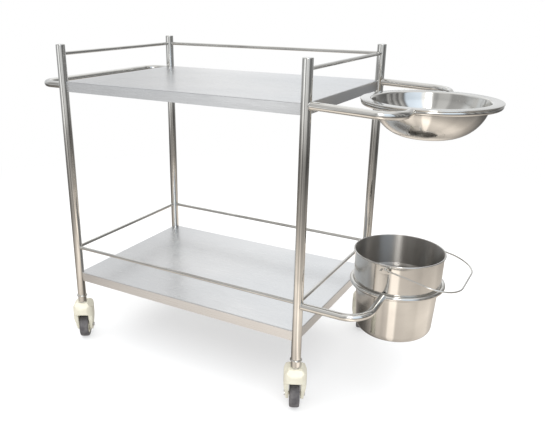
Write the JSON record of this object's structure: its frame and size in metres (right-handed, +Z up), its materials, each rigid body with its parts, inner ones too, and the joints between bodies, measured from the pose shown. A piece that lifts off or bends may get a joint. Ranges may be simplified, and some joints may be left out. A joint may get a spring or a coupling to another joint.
{
  "type": "dressing trolley",
  "caption": "Stainless steel ward trolley with shelves, guard rails, push handle, swivel casters, and a lift-out bowl and bucket held in side rings.",
  "frame": {"origin": "on the floor, under the middle of the whole object's length and midway between the front and rear posts", "axes": "+X along the length, from the push handle to the bowl and bucket; +Y from the open front side to the rear; +Z up"},
  "size_m": [1.2065, 0.5847, 0.9],
  "materials": {
    "polished_tube": "polished stainless steel tube",
    "post_cap": "polished stainless steel end plug",
    "polished_rod": "polished stainless steel rod",
    "shelf_sheet": "satin stainless steel sheet",
    "polished_vessel": "polished spun stainless steel",
    "ear_and_wire": "bright stainless steel wire and pressings",
    "caster_metal": "zinc plated steel",
    "caster_plastic": "moulded cream nylon",
    "bush_plastic": "white acetal",
    "hub_plastic": "moulded cream nylon",
    "tread": "dark grey rubber"
  },
  "bodies": {
    "trolley_frame": {"post_front_left": "polished_tube", "post_front_right": "polished_tube", "post_rear_left": "polished_tube", "post_rear_right": "polished_tube", "post_cap_front_left": "post_cap", "post_cap_front_right": "post_cap", "post_cap_rear_left": "post_cap", "post_cap_rear_right": "post_cap", "top_shelf": "shelf_sheet", "top_shelf_stiffener_front": "shelf_sheet", "top_shelf_stiffener_rear": "shelf_sheet", "lower_shelf": "shelf_sheet", "lower_shelf_stiffener_front": "shelf_sheet", "lower_shelf_stiffener_rear": "shelf_sheet", "top_rail_left": "polished_rod", "top_rail_rear": "polished_rod", "top_rail_right": "polished_rod", "lower_rail_left": "polished_rod", "lower_rail_rear": "polished_rod", "lower_rail_right": "polished_rod", "lower_rail_front": "polished_rod", "push_handle": "polished_tube", "bowl_ring": "polished_rod", "bowl_arm_front": "polished_tube", "bowl_arm_rear": "polished_tube", "bucket_ring": "polished_rod", "bucket_arm_front": "polished_tube", "bucket_arm_rear": "polished_tube", "caster_stem_front_left": "caster_metal", "caster_stem_front_right": "caster_metal", "caster_stem_rear_left": "caster_metal", "caster_stem_rear_right": "caster_metal"},
    "fork_front_left": {"caster_fork_front_left": "caster_plastic", "swivel_bush_front_left": "bush_plastic", "wheel_axle_front_left": "caster_metal"},
    "wheel_front_left": {"wheel_hub_front_left": "hub_plastic", "tyre_front_left": "tread"},
    "fork_front_right": {"caster_fork_front_right": "caster_plastic", "swivel_bush_front_right": "bush_plastic", "wheel_axle_front_right": "caster_metal"},
    "wheel_front_right": {"wheel_hub_front_right": "hub_plastic", "tyre_front_right": "tread"},
    "fork_rear_left": {"caster_fork_rear_left": "caster_plastic", "swivel_bush_rear_left": "bush_plastic", "wheel_axle_rear_left": "caster_metal"},
    "wheel_rear_left": {"wheel_hub_rear_left": "hub_plastic", "tyre_rear_left": "tread"},
    "fork_rear_right": {"caster_fork_rear_right": "caster_plastic", "swivel_bush_rear_right": "bush_plastic", "wheel_axle_rear_right": "caster_metal"},
    "wheel_rear_right": {"wheel_hub_rear_right": "hub_plastic", "tyre_rear_right": "tread"},
    "bowl": {"bowl": "polished_vessel"},
    "bucket": {"bucket": "polished_vessel", "bucket_ear_front": "ear_and_wire", "bucket_ear_rear": "ear_and_wire"},
    "bucket_bail": {"bucket_bail": "ear_and_wire"}
  },
  "joints": [
    {"name": "swivel_front_left", "type": "hinge", "parent": "trolley_frame", "child": "fork_front_left", "pos_m": [-0.50875, -0.25, 0.11], "axis": [0, 0, 1], "continuous": true},
    {"name": "roll_front_left", "type": "hinge", "parent": "fork_front_left", "child": "wheel_front_left", "pos_m": [-0.51638, -0.23826, 0.0375], "axis": [-0.8387, -0.5446, 0], "continuous": true},
    {"name": "swivel_front_right", "type": "hinge", "parent": "trolley_frame", "child": "fork_front_right", "pos_m": [0.22625, -0.25, 0.11], "axis": [0, 0, 1], "continuous": true},
    {"name": "roll_front_right", "type": "hinge", "parent": "fork_front_right", "child": "wheel_front_right", "pos_m": [0.22011, -0.23742, 0.0375], "axis": [-0.8988, -0.4384, 0], "continuous": true},
    {"name": "swivel_rear_left", "type": "hinge", "parent": "trolley_frame", "child": "fork_rear_left", "pos_m": [-0.50875, 0.25, 0.11], "axis": [0, 0, 1], "continuous": true},
    {"name": "roll_rear_left", "type": "hinge", "parent": "fork_rear_left", "child": "wheel_rear_left", "pos_m": [-0.51554, 0.26225, 0.0375], "axis": [-0.8746, -0.4848, 0], "continuous": true},
    {"name": "swivel_rear_right", "type": "hinge", "parent": "trolley_frame", "child": "fork_rear_right", "pos_m": [0.22625, 0.25, 0.11], "axis": [0, 0, 1], "continuous": true},
    {"name": "roll_rear_right", "type": "hinge", "parent": "fork_rear_right", "child": "wheel_rear_right", "pos_m": [0.22169, 0.26324, 0.0375], "axis": [-0.9455, -0.3256, 0], "continuous": true},
    {"name": "bowl_lift", "type": "slide", "parent": "trolley_frame", "child": "bowl", "axis": [0, 0, 1], "range_m": [0, 0.15]},
    {"name": "bucket_lift", "type": "slide", "parent": "trolley_frame", "child": "bucket", "axis": [0, 0, 1], "range_m": [0, 0.12]},
    {"name": "bail_swing", "type": "hinge", "parent": "bucket", "child": "bucket_bail", "pos_m": [0.39825, 0, 0.39], "axis": [0, -1, 0], "range_deg": [0, 204]}
  ]
}
